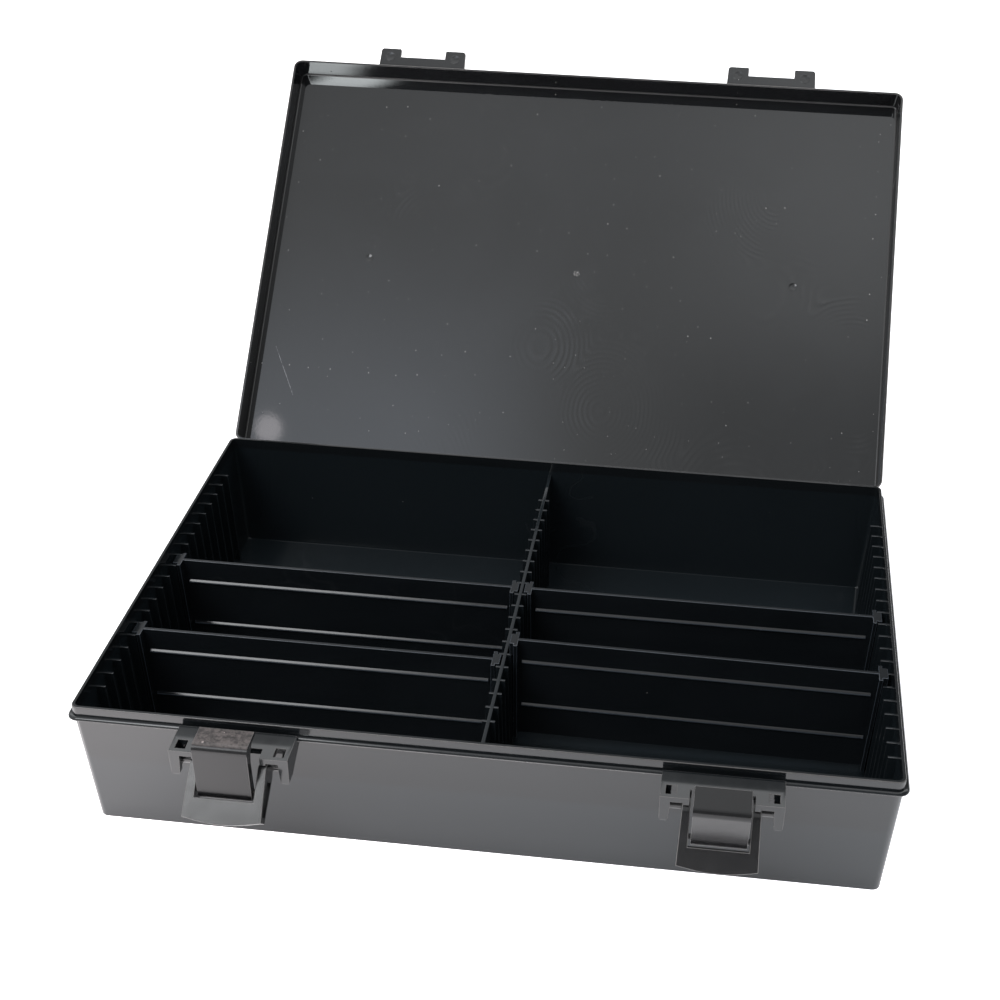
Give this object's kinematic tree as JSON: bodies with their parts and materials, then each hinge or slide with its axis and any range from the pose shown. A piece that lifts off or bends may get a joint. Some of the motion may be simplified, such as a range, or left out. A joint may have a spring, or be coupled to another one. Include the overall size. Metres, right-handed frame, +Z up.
{
  "type": "parts sorting tray",
  "caption": "Shallow black plastic sorting tray with a fixed centre wall, lift-out dividers held between guide ribs, a rear-hinged lid and front toggle latches; sorts small parts.",
  "frame": {"origin": "centre of the underside of the base", "axes": "+Z up; +Y from the latches at the front to the hinges at the rear; +X to the right seen from the front"},
  "size_m": [0.3364, 0.4413, 0.2094],
  "materials": {
    "case_plastic": "smooth moulded black polypropylene, semi-gloss",
    "lid_plastic": "smooth moulded black polypropylene, semi-gloss, with faint flow marks",
    "divider_plastic": "smooth moulded black polypropylene, glossy",
    "latch_plastic": "finely textured black moulded plastic",
    "pin_steel": "drawn steel wire"
  },
  "bodies": {
    "case": {"case_base": "case_plastic", "hinge_pin_left": "pin_steel", "hinge_pin_right": "pin_steel"},
    "lid": {"lid": "lid_plastic"},
    "lever_left": {"latch_lever_left": "latch_plastic"},
    "claw_left": {"latch_claw_left": "latch_plastic"},
    "lever_right": {"latch_lever_right": "latch_plastic"},
    "claw_right": {"latch_claw_right": "latch_plastic"},
    "divider_rear_left": {"divider_rear_left": "divider_plastic"},
    "divider_front_left": {"divider_front_left": "divider_plastic"},
    "divider_rear_right": {"divider_rear_right": "divider_plastic"},
    "divider_front_right": {"divider_front_right": "divider_plastic"}
  },
  "joints": [
    {"name": "lid_hinge", "type": "hinge", "parent": "case", "child": "lid", "pos_m": [0, 0.1149, 0.0548], "axis": [-1, 0, 0], "range_deg": [-138.6, 0]},
    {"name": "latch_left_lever", "type": "hinge", "parent": "case", "child": "lever_left", "pos_m": [-0.0964, -0.1225, 0.0506], "axis": [-1, 0, 0], "range_deg": [-45.5, 4]},
    {"name": "latch_left_claw", "type": "hinge", "parent": "lever_left", "child": "claw_left", "pos_m": [-0.0964, -0.13302, 0.04475], "axis": [-1, 0, 0], "range_deg": [-4.5, 46]},
    {"name": "latch_right_lever", "type": "hinge", "parent": "case", "child": "lever_right", "pos_m": [0.0964, -0.1225, 0.0506], "axis": [-1, 0, 0], "range_deg": [-25, 24.5]},
    {"name": "latch_right_claw", "type": "hinge", "parent": "lever_right", "child": "claw_right", "pos_m": [0.0964, -0.1303, 0.04144], "axis": [-1, 0, 0], "range_deg": [-44, 45]},
    {"name": "divider_rear_left_lift", "type": "slide", "parent": "case", "child": "divider_rear_left", "axis": [0, 0, 1], "range_m": [0, 0.06]},
    {"name": "divider_front_left_lift", "type": "slide", "parent": "case", "child": "divider_front_left", "axis": [0, 0, 1], "range_m": [0, 0.06]},
    {"name": "divider_rear_right_lift", "type": "slide", "parent": "case", "child": "divider_rear_right", "axis": [0, 0, 1], "range_m": [0, 0.06]},
    {"name": "divider_front_right_lift", "type": "slide", "parent": "case", "child": "divider_front_right", "axis": [0, 0, 1], "range_m": [-0.003, 0.06]}
  ],
  "couplings": [
    {"joint": "latch_left_claw", "follows": "latch_left_lever", "ratio": -1},
    {"joint": "latch_right_claw", "follows": "latch_right_lever", "ratio": -1.78}
  ]
}
